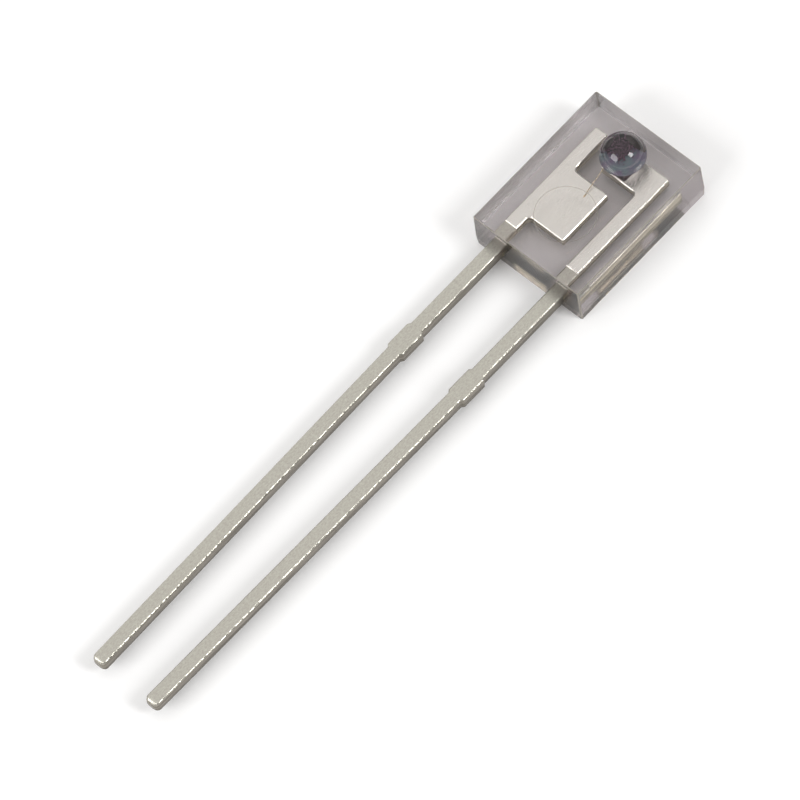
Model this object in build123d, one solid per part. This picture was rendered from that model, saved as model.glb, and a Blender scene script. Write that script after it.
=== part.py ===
from build123d import *
import math
import os

# Side-looking photodiode in a flat clear package. All lengths are in millimetres.
# The part lies on its back face: X runs across the two leads, Y from the lead tips
# towards the far end of the package, and Z out of the lens. The origin is the centre of
# the back face.

# Clear package: width and height are at the parting line, behind the lead frame
body_width = 4.40
body_height = 5.80
back_cover = 0.40
front_cover = 0.715
front_draft = 1.0
back_draft = 4.0
corner_radius = 0.06
rim_radius = 0.03

# Lens, set back from the package's far end, and the round mark that the ejector pin
# leaves on the front face, at a height above the edge that the leads leave
lens_radius = 0.75
lens_setback = 1.22
mark_radius = 1.00
mark_wall = 0.025
mark_depth = 0.025
mark_height = 1.90

# Leads, measured from the edge of the package that they leave
lead_pitch = 2.54
lead_width = 0.49
lead_thickness = 0.46
lead_length = 18.40
toe_in = 0.17
lead_edge_radius = 0.055
tip_length = 0.17
tip_shrink = 0.13
tip_rounding = 0.03

# Stubs left where the bar that tied the leads was sheared away
stub_distance = 3.68
stub_base = 1.08
stub_slant = 0.09
stub_height = 0.075

# Lead frame inside the package, at heights above that edge
coined_step = 0.045
frame_edge_radius = 0.04
step_height = 0.71
pad_height = 1.30
post_bar_width = 0.485
pad_gap = 0.645
slot_width = 0.59
head_below_chip = 0.17
head_above_chip = 0.075
head_beside_chip = 0.08
inner_corner_radius = 0.15
outer_corner_radius = 0.05

# Chip, set a little below the lens's axis. Its glue is pressed out towards the head's
# open side, and its contact sits at its corner nearest to the bonding pad.
chip_size = 0.76
chip_below_axis = 0.05
chip_thickness = 0.25
glue_thickness = 0.02
glue_climb = 0.07
glue_spread = 0.07
glue_shift = 0.035
glue_lip = 0.015
contact_size = 0.12
contact_thickness = 0.005
contact_inset = 0.04

# Wire from the chip to the bonding pad
wire_diameter = 0.03
ball_radius = 0.045
ball_height = 0.03
loop_rise = 0.10
loop_lean = 0.05
loop_reach = 0.30
loop_drop = 0.03
loop_bend_radius = 0.06
landing_rise = 0.06
stitch_x = -0.16
stitch_setback = 0.48
stitch_length = 0.12
stitch_thickness = 0.010

# Heights that follow from the sizes above, from the back face up
lead_back = back_cover
lead_front = lead_back + lead_thickness
frame_front = lead_front + coined_step
slab_front = frame_front + front_cover
chip_bottom = frame_front + glue_thickness
chip_top = chip_bottom + chip_thickness
contact_top = chip_top + contact_thickness

# Places that follow, along the package
lead_edge = -body_height / 2
lens_y = body_height / 2 - lens_setback
mark_y = lead_edge + mark_height
step_y = lead_edge + step_height
pad_bottom = lead_edge + pad_height
lead_end = lead_edge - lead_length
stub_top = lead_edge - stub_distance
stub_end = stub_top - stub_base
chip_y = lens_y - chip_below_axis
frame_top = chip_y + chip_size / 2 + head_above_chip
head_bottom = chip_y - chip_size / 2 - head_below_chip
pad_top = head_bottom - slot_width

# Places that follow, across the package: the two leads are mirror images
lead_outer = lead_pitch / 2 + lead_width / 2
lead_inner = lead_pitch / 2 - lead_width / 2
pad_right = lead_inner - pad_gap
head_left = -chip_size / 2 - head_beside_chip


def rectangle(x_low, x_high, y_low, y_high):
    """A flat rectangle given by its sides."""
    centre = Location(((x_low + x_high) / 2, (y_low + y_high) / 2))
    return centre * Rectangle(x_high - x_low, y_high - y_low)


def plate(sketch, z_low, z_high):
    """A flat sketch raised between two heights."""
    return extrude(Location((0, 0, z_low)) * sketch, amount=z_high - z_low)


# Package


def package_outside():
    """The moulded slab with its lens and the ejector mark, before anything is set in it."""
    parting_plane = Plane((0, 0, lead_back))
    outline = RectangleRounded(body_width, body_height, corner_radius)
    front_height = slab_front - lead_back
    front = extrude(parting_plane * outline, amount=front_height, taper=front_draft)
    back = extrude(parting_plane * outline, amount=-back_cover, taper=back_draft)
    slab = front + back
    front_rim = slab.faces().sort_by(Axis.Z)[-1].edges()
    slab = fillet(front_rim, rim_radius)
    lens = Location((0, lens_y, slab_front)) * Sphere(lens_radius)
    floor_radius = mark_radius - mark_wall
    brim_radius = mark_radius + mark_wall
    mark = Location((0, mark_y, slab_front)) * Cone(floor_radius, brim_radius, 2 * mark_depth)
    return slab + lens - mark


# Leads and lead frame


def lead_centre(side, y):
    """Centre of one lead across the package: straight to its stub, then toed in."""
    bend_y = (stub_top + stub_end) / 2
    share = max(0.0, (bend_y - y) / (bend_y - lead_end))
    return side * (lead_pitch / 2 - toe_in * share)


def lead_outline(side, end_y):
    """One lead seen from the front, with the sheared stubs on both its sides."""
    half = lead_width / 2
    raised = half + stub_height
    stations = [
        (step_y, half),
        (stub_top, half),
        (stub_top - stub_slant, raised),
        (stub_end + stub_slant, raised),
        (stub_end, half),
        (end_y, half),
    ]
    left_side = [(lead_centre(side, y) - offset, y) for y, offset in stations]
    right_side = [(lead_centre(side, y) + offset, y) for y, offset in reversed(stations)]
    return Polygon(*left_side, *right_side, align=None)


def lead(side):
    """One tinned lead: its stamped edges are rounded, and so is its dipped tip."""
    tip_start = lead_end + tip_length
    shank = plate(lead_outline(side, tip_start), lead_back, lead_front)
    rims = shank.faces().filter_by(Axis.Z).edges()
    long_rims = rims.filter_by_position(Axis.Y, tip_start, step_y, (False, False))
    shank = fillet(long_rims, lead_edge_radius)

    def tip_section(share):
        """The section at a share of the tip's length: the tip closes as an ellipse does."""
        y = tip_start - share * tip_length
        shrink = tip_shrink * (1 - math.sqrt(1 - share**2))
        corner = lead_edge_radius + tip_rounding * share
        centre = Vector(lead_centre(side, y), y, lead_back + lead_thickness / 2)
        return Plane(centre, Vector(1, 0, 0), Vector(0, -1, 0)) * RectangleRounded(
            lead_width - 2 * shrink, lead_thickness - 2 * shrink, corner
        )

    tip = loft([tip_section(share) for share in (0, 0.5, 0.8, 1)])
    return shank + tip


def frame_plate(plan):
    """Part of the frame inside the package, with the rolled-over edges of a stamping."""
    blank = plate(plan, lead_back, frame_front)
    front_rim = blank.faces().sort_by(Axis.Z)[-1].edges()
    return fillet(front_rim, frame_edge_radius)


def rounded_corners(plan, corners, radius):
    """The plan with the corners at the given places rounded off."""
    vertices = plan.vertices()
    picked = [vertices.sort_by_distance(Vector(x, y, 0))[0] for x, y in corners]
    return fillet(picked, radius)


def anode_lead():
    """The lead that carries the bonding pad: the wire from the chip is stitched to it."""
    post_inner = -lead_outer + post_bar_width
    plan = rectangle(-lead_outer, -lead_inner, step_y, pad_bottom)
    plan += rectangle(-lead_outer, pad_right, pad_bottom, pad_top)
    plan += rectangle(-lead_outer, post_inner, pad_top, frame_top)
    inner = [(-lead_inner, pad_bottom), (post_inner, pad_top)]
    outer = [
        (pad_right, pad_bottom),
        (pad_right, pad_top),
        (post_inner, frame_top),
        (-lead_outer, frame_top),
    ]
    plan = rounded_corners(plan, inner, inner_corner_radius)
    plan = rounded_corners(plan, outer, outer_corner_radius)
    return frame_plate(plan) + lead(-1)


def cathode_lead():
    """The lead that carries the chip on its head, under the lens."""
    plan = rectangle(lead_inner, lead_outer, step_y, head_bottom)
    plan += rectangle(head_left, lead_outer, head_bottom, frame_top)
    inner = [(lead_inner, head_bottom)]
    outer = [(head_left, head_bottom), (head_left, frame_top), (lead_outer, frame_top)]
    plan = rounded_corners(plan, inner, inner_corner_radius)
    plan = rounded_corners(plan, outer, outer_corner_radius)
    return frame_plate(plan) + lead(1)


# Chip, its glue, its contact and the wire


def chip():
    """The silicon die, under the lens."""
    square = Location((0, chip_y)) * Rectangle(chip_size, chip_size)
    return plate(square, chip_bottom, chip_top)


def die_attach():
    """Silver glue under the chip, with the low fillet that climbs its sides."""

    def level(z, spread, shift):
        side = chip_size + 2 * spread
        return Location((shift, chip_y - shift, z)) * RectangleRounded(side, side, spread)

    foot = level(frame_front, glue_spread, glue_shift)
    lip = level(frame_front + glue_climb, glue_lip, 0)
    return loft([foot, lip]) - chip()


def contact_centre():
    """Middle of the contact, at the chip's corner nearest to the bonding pad."""
    reach = chip_size / 2 - contact_inset - contact_size / 2
    return (-reach, chip_y - reach)


def chip_contact():
    """The metal patch on the chip that the wire's ball is bonded to."""
    square = Location(contact_centre()) * Rectangle(contact_size, contact_size)
    return plate(square, chip_top, contact_top)


def bond_wire():
    """Gold wire: a ball on the chip, a low loop, and a flat stitch on the pad."""
    ball_x, ball_y = contact_centre()
    stitch_y = pad_top - stitch_setback
    span = math.hypot(stitch_x - ball_x, stitch_y - ball_y)
    along_x = (stitch_x - ball_x) / span
    along_y = (stitch_y - ball_y) / span
    loop_top = contact_top + ball_height + loop_rise
    wire_end = frame_front + wire_diameter / 2

    def on_route(distance, z):
        return (ball_x + along_x * distance, ball_y + along_y * distance, z)

    route = [
        on_route(0, contact_top + ball_height / 2),
        on_route(loop_lean, loop_top),
        on_route(loop_reach, loop_top - loop_drop),
        on_route(span - stitch_length, wire_end + landing_rise),
        on_route(span, wire_end),
    ]
    path = FilletPolyline(*route, radius=loop_bend_radius)
    start = Plane(origin=path @ 0, z_dir=path % 0)
    wire = sweep(start * Circle(wire_diameter / 2), path=path)
    ball_place = Location((ball_x, ball_y, contact_top + ball_height / 2))
    ball = ball_place * Cylinder(ball_radius, ball_height)
    heading = math.degrees(math.atan2(along_y, along_x))
    stitch_place = Location((stitch_x, stitch_y), heading)
    stitch_outline = stitch_place * Ellipse(stitch_length / 2, wire_diameter)
    stitch = plate(stitch_outline, frame_front, frame_front + stitch_thickness)
    return ball + wire + stitch


# Every piece by its name. The package is moulded round all the others.

pieces = {
    "anode_lead": anode_lead(),
    "cathode_lead": cathode_lead(),
    "photodiode_chip": chip(),
    "die_attach": die_attach(),
    "chip_contact": chip_contact(),
    "bond_wire": bond_wire(),
}

epoxy_body = package_outside()
for embedded in pieces.values():
    epoxy_body = epoxy_body - embedded
pieces["epoxy_body"] = epoxy_body

os.makedirs("parts", exist_ok=True)
for name, piece in pieces.items():
    export_step(piece, f"parts/{name}.step")
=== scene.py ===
import math

import bpy
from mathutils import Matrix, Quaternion, Vector
from mathutils.geometry import delaunay_2d_cdt

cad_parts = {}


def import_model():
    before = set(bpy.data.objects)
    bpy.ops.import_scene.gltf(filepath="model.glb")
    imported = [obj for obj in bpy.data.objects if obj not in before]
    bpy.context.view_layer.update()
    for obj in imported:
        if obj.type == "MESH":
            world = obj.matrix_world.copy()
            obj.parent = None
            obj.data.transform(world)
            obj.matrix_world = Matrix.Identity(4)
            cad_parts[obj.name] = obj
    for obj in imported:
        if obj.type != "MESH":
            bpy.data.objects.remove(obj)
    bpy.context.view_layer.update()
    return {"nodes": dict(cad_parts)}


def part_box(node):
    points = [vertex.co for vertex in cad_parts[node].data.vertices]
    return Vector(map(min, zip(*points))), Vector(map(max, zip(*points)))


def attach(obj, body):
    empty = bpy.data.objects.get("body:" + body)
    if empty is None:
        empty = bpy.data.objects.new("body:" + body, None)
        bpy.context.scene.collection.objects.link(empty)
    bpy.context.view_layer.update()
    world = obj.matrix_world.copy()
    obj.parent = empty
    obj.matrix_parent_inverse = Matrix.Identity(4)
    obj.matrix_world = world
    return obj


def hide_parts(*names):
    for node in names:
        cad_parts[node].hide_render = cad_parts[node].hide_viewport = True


# A side-looking photodiode in a clear package, lying on its back face on a pale floor.
# The frame gives the leads, the chip, its glue, its contact and the wire. This script
# makes the clear package again as one smooth skin, so that it refracts cleanly.

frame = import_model()
nodes = frame["nodes"]

MM = 0.001

# Clear package, the sizes of the source, in millimetres
BODY_WIDTH = 4.40
BODY_HEIGHT = 5.80
PARTING_Z = 0.40
FRONT_Z = 1.62
FRONT_DRAFT = 1.0
BACK_DRAFT = 4.0
CORNER_RADIUS = 0.06
RIM_RADIUS = 0.03
LENS_RADIUS = 0.75
LENS_Y = 1.68
MARK_RADIUS = 1.00
MARK_DEPTH = 0.025
MARK_Y = -1.00
MARK_WALL = 0.025

# Leads: the edge of the package that they leave, their back, their ends, and the middle
# of the chip's lead. At the step the silver plating ends and the tin begins.
PACKAGE_EDGE_Y = -2.90
LEAD_BACK_Z = 0.40
LEAD_END_Y = -21.30
LEAD_X = 1.27
STEP_Y = -2.19

# Slope at which the rolled-over edges of the silver frame catch the light, and the part of
# the frame, beside the chip, where they are fainter
EDGE_TILT = 0.36
BY_CHIP_Y = 0.80
BY_CHIP_X = 0.45

# Size of the dark patch at the chip's far left corner
CORNER_PATCH = 0.25


# Small helpers for materials


def srgb(red, green, blue):
    """A colour given by its 0-255 values, as the linear values that the shaders take."""

    def linear(value):
        value = value / 255
        return value / 12.92 if value <= 0.04045 else ((value + 0.055) / 1.055) ** 2.4

    return (linear(red), linear(green), linear(blue), 1.0)


def add(tree, kind, inputs=None, **settings):
    """A new node with its settings, and values or sockets for its inputs."""
    new = tree.nodes.new(kind)
    for name, value in settings.items():
        setattr(new, name, value)
    for name, value in (inputs or {}).items():
        if isinstance(value, bpy.types.NodeSocket):
            tree.links.new(value, new.inputs[name])
        else:
            new.inputs[name].default_value = value
    return new


def new_material(name):
    """An empty node material and its tree."""
    material = bpy.data.materials.new(name)
    material.use_nodes = True
    material.node_tree.nodes.clear()
    return material, material.node_tree


def object_place(tree):
    """The point's place in the row frame, in millimetres."""
    coordinates = add(tree, "ShaderNodeTexCoord")
    return add(
        tree,
        "ShaderNodeVectorMath",
        {0: coordinates.outputs["Object"], 1: (1 / MM, 1 / MM, 1 / MM)},
        operation="MULTIPLY",
    ).outputs["Vector"]


def stretched(tree, vector, scale):
    """A vector scaled along X, Y and Z, such as a place for grain that has a direction."""
    return add(
        tree, "ShaderNodeVectorMath", {0: vector, 1: scale}, operation="MULTIPLY"
    ).outputs["Vector"]


def thrice(tree, value):
    """A vector with one value along X, Y and Z."""
    return add(
        tree, "ShaderNodeCombineXYZ", {"X": value, "Y": value, "Z": value}
    ).outputs["Vector"]


def unit(tree, vector):
    """A vector brought to length 1."""
    return add(
        tree, "ShaderNodeVectorMath", {0: vector}, operation="NORMALIZE"
    ).outputs["Vector"]


def noise(tree, place, scale, detail=3.0, roughness=0.5):
    """Procedural noise between 0 and 1."""
    return add(
        tree,
        "ShaderNodeTexNoise",
        {"Vector": place, "Scale": scale, "Detail": detail, "Roughness": roughness},
    ).outputs["Fac"]


def span(tree, value, low, high, to_low=0.0, to_high=1.0, smooth=False):
    """A value mapped from one range to another, and clamped."""
    return add(
        tree,
        "ShaderNodeMapRange",
        {
            "Value": value,
            "From Min": low,
            "From Max": high,
            "To Min": to_low,
            "To Max": to_high,
        },
        clamp=True,
        interpolation_type="SMOOTHSTEP" if smooth else "LINEAR",
    ).outputs["Result"]


def band(tree, value, rise_low, rise_high, fall_low, fall_high):
    """1 between two values and 0 outside them, with soft sides."""
    rise = span(tree, value, rise_low, rise_high)
    fall = span(tree, value, fall_low, fall_high, 1.0, 0.0)
    return maths(tree, "MULTIPLY", rise, fall)


def blend(tree, share, first, second, kind="RGBA"):
    """Two colours mixed, or two values with the kind FLOAT, or two vectors with VECTOR."""
    mix = add(tree, "ShaderNodeMix", data_type=kind)
    for name, value in (("Factor", share), ("A", first), ("B", second)):
        socket = next(s for s in mix.inputs if s.name == name and s.enabled)
        if isinstance(value, bpy.types.NodeSocket):
            tree.links.new(value, socket)
        else:
            socket.default_value = value
    return next(s for s in mix.outputs if s.enabled)


def maths(tree, operation, first, second=0.0, clamp=False):
    """One arithmetic step."""
    return add(
        tree, "ShaderNodeMath", {0: first, 1: second}, operation=operation, use_clamp=clamp
    ).outputs[0]


def bump(tree, height, strength, distance_mm):
    """A bump normal from a height."""
    return add(
        tree,
        "ShaderNodeBump",
        {"Height": height, "Strength": strength, "Distance": distance_mm * MM},
    ).outputs["Normal"]


def axis_value(tree, place, axis):
    """One coordinate of a place."""
    return add(tree, "ShaderNodeSeparateXYZ", {"Vector": place}).outputs[axis]


def finish_material(tree, surface, volume=None):
    """The output node, with its surface and volume."""
    output = add(tree, "ShaderNodeOutputMaterial", {"Surface": surface})
    if volume is not None:
        tree.links.new(volume, output.inputs["Volume"])


# Materials


def epoxy_material():
    """Clear lavender-grey epoxy: polished, but with drawn sides and a frosted rim and mark."""
    material, tree = new_material("clear_epoxy_resin")
    place = object_place(tree)
    height = axis_value(tree, place, "Z")
    normal = add(tree, "ShaderNodeTexCoord").outputs["Normal"]
    facing = maths(tree, "ABSOLUTE", axis_value(tree, normal, "Z"))

    # Sides: drawn out of the mould, and duller on the left
    draw_marks = noise(tree, stretched(tree, place, (0.8, 0.8, 20.0)), 1.0, 3.0, 0.6)
    side_rough = span(tree, draw_marks, 0.35, 0.65, 0.11, 0.19)
    from_left = maths(tree, "ADD", axis_value(tree, place, "X"), BODY_WIDTH / 2)
    duller_left = span(tree, from_left, 0.05, 0.10, 2.0, 1.0)
    side_rough = maths(tree, "MULTIPLY", side_rough, duller_left)
    flat = span(tree, facing, 0.990, 0.998)
    lens = span(tree, height, FRONT_Z + 0.001, FRONT_Z + 0.002)
    polished = maths(tree, "MAXIMUM", flat, lens)
    dull = maths(tree, "SUBTRACT", 1.0, polished)
    ripple = noise(tree, place, 2.2, 2.0, 0.5)
    haze = noise(tree, place, 1.6, 5.0, 0.65)
    clear = add(
        tree,
        "ShaderNodeBsdfPrincipled",
        {
            "Base Color": blend(tree, haze, (0.93, 0.95, 0.94, 1.0), (1.0, 0.99, 1.0, 1.0)),
            "Roughness": maths(tree, "MULTIPLY", side_rough, dull, clamp=True),
            "IOR": 1.54,
            "Transmission Weight": 1.0,
            "Normal": bump(tree, ripple, 0.03, 0.01),
        },
    )

    # The rim and the mark's wall, the only slopes just under the front face, are frosted,
    # and so are the package's upright corners, the only sides that face two ways
    rim_z = FRONT_Z - RIM_RADIUS
    near_front = span(tree, height, rim_z - 0.002, rim_z)
    facing_x = maths(tree, "ABSOLUTE", axis_value(tree, normal, "X"))
    facing_y = maths(tree, "ABSOLUTE", axis_value(tree, normal, "Y"))
    corner = span(tree, maths(tree, "MINIMUM", facing_x, facing_y), 0.10, 0.25)
    slope = maths(tree, "MAXIMUM", near_front, corner)
    frosted = maths(tree, "MULTIPLY", slope, dull)
    frost = add(tree, "ShaderNodeBsdfDiffuse", {"Color": srgb(192, 186, 176)})
    surface = add(
        tree,
        "ShaderNodeMixShader",
        {
            0: maths(tree, "MULTIPLY", frosted, 0.5),
            1: clear.outputs["BSDF"],
            2: frost.outputs["BSDF"],
        },
    )
    volume = add(
        tree,
        "ShaderNodeVolumeAbsorption",
        {"Color": (0.76, 0.69, 0.70, 1.0), "Density": 345.0},
    )
    finish_material(tree, surface.outputs[0], volume.outputs["Volume"])
    return material


def rolled_edges(tree, place, inside):
    """How far a point lies on a rolled-over edge of the leads, and the edge's normal.

    The edges catch the light as a narrow bevel does, and unevenly on the tin.
    """
    normal = add(tree, "ShaderNodeTexCoord").outputs["Normal"]
    facing = axis_value(tree, normal, "Z")
    outward = unit(tree, stretched(tree, normal, (1.0, 1.0, 0.0)))
    wear = noise(tree, place, 9.0, 3.0, 0.6)
    tin_tilt = span(tree, wear, 0.38, 0.62, 0.30, 1.40)
    tilt = blend(tree, inside, tin_tilt, EDGE_TILT, "FLOAT")
    leaning = stretched(tree, outward, thrice(tree, tilt))
    tilted = add(
        tree, "ShaderNodeVectorMath", {0: leaning, 1: (0.0, 0.0, 1.0)}, operation="ADD"
    ).outputs["Vector"]
    silver_edge = band(tree, facing, 0.15, 0.30, 0.985, 0.997)
    tin_edge = band(tree, facing, 0.55, 0.75, 0.93, 0.97)

    # The roll-over is weaker on the outer side of the chip's lead and beside the chip, and
    # it ends before the dipped tips
    along = axis_value(tree, place, "Y")
    across = axis_value(tree, place, "X")
    outer_side = span(tree, across, LEAD_X - 0.07, LEAD_X + 0.13, 1.0, 0.5)
    by_chip = maths(
        tree,
        "MULTIPLY",
        span(tree, along, BY_CHIP_Y - 0.1, BY_CHIP_Y + 0.1),
        span(tree, across, BY_CHIP_X - 0.25, BY_CHIP_X, 1.0, 0.0),
    )
    strength = maths(tree, "MULTIPLY", outer_side, span(tree, by_chip, 0.0, 1.0, 1.0, 0.45))
    silver_edge = maths(tree, "MULTIPLY", silver_edge, strength)
    before_tip = span(tree, along, LEAD_END_Y + 0.1, LEAD_END_Y + 0.3)
    tin_edge = maths(tree, "MULTIPLY", tin_edge, before_tip)
    return blend(tree, inside, tin_edge, silver_edge, "FLOAT"), unit(tree, tilted)


def lead_material():
    """Silver plate on the frame inside the package, dipped tin on the leads outside."""
    material, tree = new_material("plated_lead_frame")
    place = object_place(tree)
    along = axis_value(tree, place, "Y")
    inside = span(tree, along, STEP_Y - 0.005, STEP_Y + 0.005)
    facing = axis_value(tree, add(tree, "ShaderNodeTexCoord").outputs["Normal"], "Z")
    top_share = span(tree, facing, 0.15, 0.75)

    # Silver: rolled strip with a faint grain along it, cloudy in places. Its sheared sides are
    #     # painted darker than its top, as shade, and have the light and dark lines the punch
    #     leaves.
    clouds = noise(tree, stretched(tree, place, (1.0, 0.6, 1.0)), 1.3, 3.0)
    silver_top = blend(tree, clouds, srgb(238, 236, 228), srgb(248, 246, 240))
    punch_lines = noise(tree, stretched(tree, place, (0.3, 0.15, 13.0)), 1.0, 3.0, 0.6)
    # Painted shade on the sheared sides, streaked with the punch lines
    silver_shaded_side = blend(
        tree, span(tree, punch_lines, 0.38, 0.62), srgb(128, 118, 104), srgb(232, 224, 196)
    )
    silver = blend(tree, top_share, silver_shaded_side, silver_top)
    silver_grain = noise(tree, stretched(tree, place, (60.0, 4.0, 60.0)), 1.0, 2.0)

    # Tin: mottled greenish grey, with painted shade on the sheared sides that deepens towards
    #     # their lower edge. The covered sides, inside the package, are as bright as the
    #     silver's sides.
    mottling = noise(tree, stretched(tree, place, (3.0, 1.4, 3.0)), 7.0, 5.0, 0.75)
    tin_top = blend(
        tree, span(tree, mottling, 0.38, 0.62), srgb(208, 207, 195), srgb(188, 183, 174)
    )
    tin_lines = noise(tree, stretched(tree, place, (1.0, 0.5, 13.0)), 1.0, 4.0, 0.7)
    # Painted shade: the tin's sheared sides darker than its top
    tin_shaded_side = blend(
        tree, span(tree, tin_lines, 0.35, 0.65), srgb(112, 106, 96), srgb(160, 154, 144)
    )
    height_z = axis_value(tree, place, "Z")
    # Painted shade, deepening towards the lead's back
    lower_edge_shade = span(tree, height_z, LEAD_BACK_Z, LEAD_BACK_Z + 0.25, 0.45, 1.0)
    tin_shaded_side = stretched(tree, tin_shaded_side, thrice(tree, lower_edge_shade))
    covered = span(tree, along, PACKAGE_EDGE_Y - 0.05, PACKAGE_EDGE_Y)
    tin_shaded_side = blend(tree, covered, tin_shaded_side, silver_shaded_side)
    tin = blend(tree, top_share, tin_shaded_side, tin_top)
    tin_grain = noise(tree, stretched(tree, place, (18.0, 5.0, 18.0)), 1.6, 5.0, 0.65)

    colour = blend(tree, inside, tin, silver)
    silver_rough = span(tree, silver_grain, 0.3, 0.7, 0.20, 0.28)
    tin_rough = span(tree, tin_grain, 0.3, 0.7, 0.26, 0.42)
    roughness = blend(tree, inside, tin_rough, silver_rough, "FLOAT")
    grain = blend(tree, inside, tin_grain, silver_grain, "FLOAT")
    grained = bump(tree, grain, 0.35, 0.01)

    on_edge, edge_normal = rolled_edges(tree, place, inside)
    shader = add(
        tree,
        "ShaderNodeBsdfPrincipled",
        {
            "Base Color": colour,
            "Metallic": 1.0,
            "Roughness": roughness,
            "Normal": blend(tree, on_edge, grained, edge_normal, "VECTOR"),
        },
    )
    finish_material(tree, shader.outputs["BSDF"])
    return material


def silicon_material():
    """Polished silicon: blue-grey with violet patches, and a dark ragged far left corner."""
    material, tree = new_material("coated_silicon")
    place = object_place(tree)
    low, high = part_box("photodiode_chip")
    patches = noise(tree, place, 5.0, 3.0)
    coating = blend(
        tree, span(tree, patches, 0.38, 0.62), srgb(124, 112, 136), srgb(118, 134, 140)
    )

    # Dark corner, as far in from the left side as from the far side
    from_left = maths(tree, "SUBTRACT", axis_value(tree, place, "X"), low.x / MM)
    from_far = maths(tree, "SUBTRACT", high.y / MM, axis_value(tree, place, "Y"))
    inward = maths(tree, "MAXIMUM", from_left, from_far)
    ragged = noise(tree, place, 36.0, 3.0, 0.6)
    specks = noise(tree, place, 75.0, 2.0, 0.6)
    edge = maths(tree, "ADD", inward, span(tree, ragged, 0.3, 0.7, -0.09, 0.09))
    off_dark_corner = span(tree, edge, CORNER_PATCH - 0.01, CORNER_PATCH + 0.01)
    # Near-black and lilac specks over the ragged corner patch
    dark_corner_colour = blend(tree, span(tree, specks, 0.47, 0.60), srgb(14, 8, 12), srgb(136, 100, 124))
    top = blend(tree, off_dark_corner, dark_corner_colour, coating)

    # Sawn sides, paler than the coated top
    facing = axis_value(tree, add(tree, "ShaderNodeTexCoord").outputs["Normal"], "Z")
    colour = blend(tree, span(tree, facing, 0.4, 0.6), srgb(196, 182, 184), top)
    shader = add(
        tree,
        "ShaderNodeBsdfPrincipled",
        {
            "Base Color": colour,
            "Metallic": 0.35,
            "Roughness": span(tree, off_dark_corner, 0.0, 1.0, 0.35, 0.12),
        },
    )
    finish_material(tree, shader.outputs["BSDF"])
    return material


def glue_material():
    """Silver-filled glue, dull and grainy, with painted shade darkening it to a grey-brown."""
    material, tree = new_material("silver_glue")
    place = object_place(tree)
    grain = noise(tree, place, 40.0, 4.0)
    # Painted shade: dark grey-brown in place of the silver glue's grey
    colour = blend(tree, grain, srgb(58, 48, 54), srgb(118, 104, 104))
    shader = add(
        tree,
        "ShaderNodeBsdfPrincipled",
        {
            "Base Color": colour,
            "Metallic": 0.5,
            "Roughness": 0.55,
            "Normal": bump(tree, grain, 0.4, 0.01),
        },
    )
    finish_material(tree, shader.outputs["BSDF"])
    return material


def small_metal_material(name, dark, light, roughness):
    """A small metal part with a slight grain."""
    material, tree = new_material(name)
    place = object_place(tree)
    grain = noise(tree, place, 30.0, 3.0)
    shader = add(
        tree,
        "ShaderNodeBsdfPrincipled",
        {
            "Base Color": blend(tree, grain, dark, light),
            "Metallic": 1.0,
            "Roughness": roughness,
            "Normal": bump(tree, grain, 0.1, 0.005),
        },
    )
    finish_material(tree, shader.outputs["BSDF"])
    return material


def floor_material():
    """Pale matt floor with a hardly visible unevenness."""
    material, tree = new_material("pale_floor")
    place = object_place(tree)
    speckle = noise(tree, place, 0.4, 3.0)
    colour = blend(tree, speckle, srgb(252, 252, 252), srgb(255, 255, 255))
    shader = add(tree, "ShaderNodeBsdfDiffuse", {"Color": colour})
    finish_material(tree, shader.outputs[0])
    return material


# Clear package as one closed skin


class Skin:
    """Points and faces of a closed skin, each face smooth or flat."""

    def __init__(self):
        self.points = []
        self.faces = []
        self.smooth = []

    def loop(self, ring):
        """Adds a ring of points and gives their indices."""
        start = len(self.points)
        self.points.extend(ring)
        return list(range(start, len(self.points)))

    def face(self, indices, smooth):
        """Adds one face."""
        self.faces.append(tuple(indices))
        self.smooth.append(smooth)

    def strip(self, lower, upper, smooth):
        """Quads between two loops of equal length. smooth says it for each quad."""
        count = len(lower)
        for i in range(count):
            j = (i + 1) % count
            self.face((lower[i], lower[j], upper[j], upper[i]), smooth(i))


# Quads round each upright corner
CORNER_STEPS = 6


def rounded_loop(inset, z):
    """The package's outline at one height, drawn in from its largest size."""
    half_x = BODY_WIDTH / 2 - inset
    half_y = BODY_HEIGHT / 2 - inset
    centres = [
        (half_x - CORNER_RADIUS, half_y - CORNER_RADIUS, 0),
        (-half_x + CORNER_RADIUS, half_y - CORNER_RADIUS, 90),
        (-half_x + CORNER_RADIUS, -half_y + CORNER_RADIUS, 180),
        (half_x - CORNER_RADIUS, -half_y + CORNER_RADIUS, 270),
    ]
    ring = []
    for x, y, start in centres:
        for step in range(CORNER_STEPS + 1):
            angle = math.radians(start + 90 * step / CORNER_STEPS)
            ring.append(
                (x + CORNER_RADIUS * math.cos(angle), y + CORNER_RADIUS * math.sin(angle), z)
            )
    return ring


def circle(radius, y, z, count):
    """A circle about the package's middle line at one height."""
    turns = [2 * math.pi * i / count for i in range(count)]
    return [(radius * math.cos(a), y + radius * math.sin(a), z) for a in turns]


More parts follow.
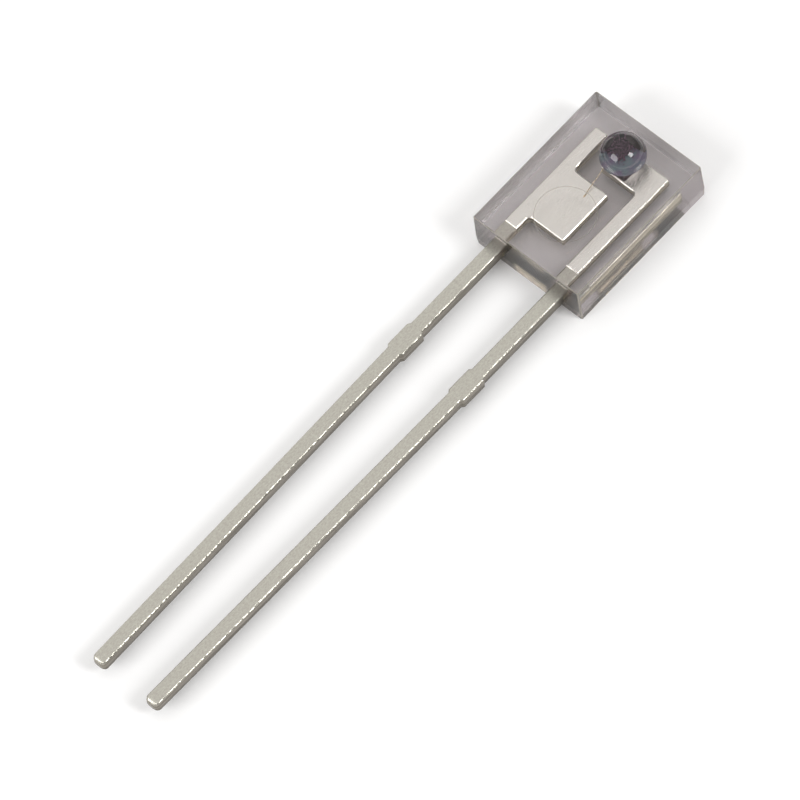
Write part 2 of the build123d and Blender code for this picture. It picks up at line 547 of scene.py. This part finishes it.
def package_skin():
    """The outside of the moulded package: slab, lens and ejector mark, closed."""
    skin = Skin()
    per_corner = CORNER_STEPS + 1

    def in_corner(i):
        return i % per_corner != CORNER_STEPS

    def whole(i):
        return True

    back_inset = PARTING_Z * math.tan(math.radians(BACK_DRAFT))
    front_slope = math.tan(math.radians(FRONT_DRAFT))
    rim_z = FRONT_Z - RIM_RADIUS
    rim_inset = (rim_z - PARTING_Z) * front_slope
    levels = [(back_inset, 0.0), (0.0, PARTING_Z), (rim_inset, rim_z)]
    loops = [skin.loop(rounded_loop(inset, z)) for inset, z in levels]
    for lower, upper in zip(loops, loops[1:]):
        skin.strip(lower, upper, in_corner)
    skin.face(reversed(loops[0]), False)

    rim_steps = 5
    lower = loops[-1]
    for step in range(1, rim_steps + 1):
        angle = math.radians(90 * step / rim_steps)
        inset = rim_inset + RIM_RADIUS * (1 - math.cos(angle))
        upper = skin.loop(rounded_loop(inset, rim_z + RIM_RADIUS * math.sin(angle)))
        skin.strip(lower, upper, whole)
        lower = upper
    outer = lower

    # Lens
    lens_around = 128
    lens_up = 40
    base = skin.loop(circle(LENS_RADIUS, LENS_Y, FRONT_Z, lens_around))
    lower = base
    for step in range(1, lens_up):
        angle = math.radians(90 * step / lens_up)
        ring_radius = LENS_RADIUS * math.cos(angle)
        ring_z = FRONT_Z + LENS_RADIUS * math.sin(angle)
        upper = skin.loop(circle(ring_radius, LENS_Y, ring_z, lens_around))
        skin.strip(lower, upper, whole)
        lower = upper
    top = skin.loop([(0, LENS_Y, FRONT_Z + LENS_RADIUS)])[0]
    for i in range(lens_around):
        skin.face((lower[i], lower[(i + 1) % lens_around], top), True)

    # Ejector mark: a shallow recess with a sloping wall
    mark_around = 128
    brim = skin.loop(circle(MARK_RADIUS, MARK_Y, FRONT_Z, mark_around))
    floor = skin.loop(circle(MARK_RADIUS - MARK_WALL, MARK_Y, FRONT_Z - MARK_DEPTH, mark_around))
    skin.strip(brim, floor, whole)
    skin.face(floor, False)

    # Front face, flat, with the lens and the mark left out of it
    given = outer + base + brim
    flat_points = [Vector(skin.points[i][:2]) for i in given]
    ends = [0, len(outer), len(outer) + len(base), len(given)]
    rings = [list(range(a, b)) for a, b in zip(ends, ends[1:])]
    inside_faces = 1
    tolerance = 1e-6
    result = delaunay_2d_cdt(flat_points, [], rings, inside_faces, tolerance)
    faces, came_from, parents = result[2], result[3], result[5]
    index = [given[old[0]] for old in came_from]
    for corners, sources in zip(faces, parents):
        if sources == [0]:
            skin.face([index[c] for c in corners], False)

    mesh = bpy.data.meshes.new("clear_package")
    scaled = [(x * MM, y * MM, z * MM) for x, y, z in skin.points]
    mesh.from_pydata(scaled, [], skin.faces)
    mesh.polygons.foreach_set("use_smooth", skin.smooth)
    mesh.validate()
    mesh.update()
    piece = bpy.data.objects.new("clear_package", mesh)
    bpy.context.scene.collection.objects.link(piece)
    return piece


package = package_skin()
package.data.materials.append(epoxy_material())
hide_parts("epoxy_body")
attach(package, "root")


# The frame's own pieces


def dress(name, material):
    """A CAD node with its material."""
    slots = nodes[name].data.materials
    if len(slots) == 0:
        slots.append(material)
    for i in range(len(slots)):
        slots[i] = material


plating = lead_material()
dress("anode_lead", plating)
dress("cathode_lead", plating)
dress("photodiode_chip", silicon_material())
dress("die_attach", glue_material())
dress(
    "chip_contact",
    small_metal_material("contact_metal", srgb(52, 40, 48), srgb(128, 104, 110), 0.4),
)
dress(
    "bond_wire",
    small_metal_material("gold_wire", srgb(226, 204, 168), srgb(242, 226, 198), 0.25),
)


# Floor: half its side, in metres, and how far it lies under the package

FLOOR_HALF = 2.0
FLOOR_DROP = 0.01 * MM


def floor():
    """A large pale floor just under the package's back face."""
    half = FLOOR_HALF
    mesh = bpy.data.meshes.new("floor")
    corners = [(-half, -half, 0), (half, -half, 0), (half, half, 0), (-half, half, 0)]
    mesh.from_pydata(corners, [], [(0, 1, 2, 3)])
    surface = bpy.data.objects.new("floor", mesh)
    surface.location.z = -FLOOR_DROP
    mesh.materials.append(floor_material())
    bpy.context.scene.collection.objects.link(surface)


floor()


# Light: the side on which the surroundings are brightest, with their levels there and on
# the other side, and how far the lamps stand, in metres

BRIGHT_AZIMUTH = 232.8
BRIGHT_ELEVATION = 61.2
BRIGHT_LEVEL = 0.88
DIM_LEVEL = 0.24
LAMP_DISTANCE = 0.30


def direction(azimuth, elevation):
    """A unit vector. Azimuth 0 is on the -Y side, 90 on +X."""
    around = math.radians(azimuth)
    up = math.radians(elevation)
    return Vector(
        (math.sin(around) * math.cos(up), -math.cos(around) * math.cos(up), math.sin(up))
    )


def world():
    """Pale surroundings, brighter above and behind the part on its left."""
    surroundings = bpy.data.worlds.new("studio")
    surroundings.use_nodes = True
    tree = surroundings.node_tree
    tree.nodes.clear()
    way = add(tree, "ShaderNodeTexCoord").outputs["Generated"]
    nearness = add(
        tree,
        "ShaderNodeVectorMath",
        {0: way, 1: direction(BRIGHT_AZIMUTH, BRIGHT_ELEVATION)},
        operation="DOT_PRODUCT",
    ).outputs["Value"]
    level = span(tree, nearness, 0.2, 0.9, DIM_LEVEL, BRIGHT_LEVEL, smooth=True)
    light = add(
        tree, "ShaderNodeBackground", {"Color": (1.0, 0.99, 0.98, 1.0), "Strength": level}
    )
    add(tree, "ShaderNodeOutputWorld", {"Surface": light.outputs[0]})
    bpy.context.scene.world = surroundings


def lamp(name, azimuth, elevation, width, height, power):
    """A rectangular lamp that faces the package."""
    data = bpy.data.lights.new(name, "AREA")
    data.shape = "RECTANGLE"
    data.size = width
    data.size_y = height
    data.energy = power
    lamp_object = bpy.data.objects.new(name, data)
    outward = direction(azimuth, elevation)
    lamp_object.location = outward * LAMP_DISTANCE
    lamp_object.rotation_mode = "QUATERNION"
    lamp_object.rotation_quaternion = outward.to_track_quat("Z", "Y")
    bpy.context.scene.collection.objects.link(lamp_object)


world()
lamp("left", azimuth=-8, elevation=36, width=0.18, height=0.14, power=0.39)
lamp("right", azimuth=104, elevation=43, width=0.10, height=0.11, power=0.36)


# Camera: the photograph's angle, fitted to the package's corners, the lens and the leads.
# Lengths are in millimetres and angles in degrees.

CAMERA_AIM = (-0.0705, -8.7123, 0.5939)
CAMERA_DISTANCE = 307.894
CAMERA_AZIMUTH = 52.765
CAMERA_ELEVATION = 61.2046
CAMERA_ROLL = -12.0601
CAMERA_LENS = 451.522


def camera():
    """The camera, aimed at a point between the leads and rolled about its own axis."""
    data = bpy.data.cameras.new("camera")
    data.type = "PERSP"
    data.sensor_width = 36.0
    data.lens = CAMERA_LENS
    data.clip_start = 0.01
    data.clip_end = 10.0
    outward = direction(CAMERA_AZIMUTH, CAMERA_ELEVATION)
    camera_object = bpy.data.objects.new("camera", data)
    camera_object.location = Vector(CAMERA_AIM) * MM + outward * CAMERA_DISTANCE * MM
    camera_object.rotation_mode = "QUATERNION"
    roll = Quaternion((0, 0, 1), math.radians(CAMERA_ROLL))
    camera_object.rotation_quaternion = outward.to_track_quat("Z", "Y") @ roll
    bpy.context.scene.collection.objects.link(camera_object)
    bpy.context.scene.camera = camera_object


camera()

bpy.context.scene.view_settings.view_transform = "Standard"
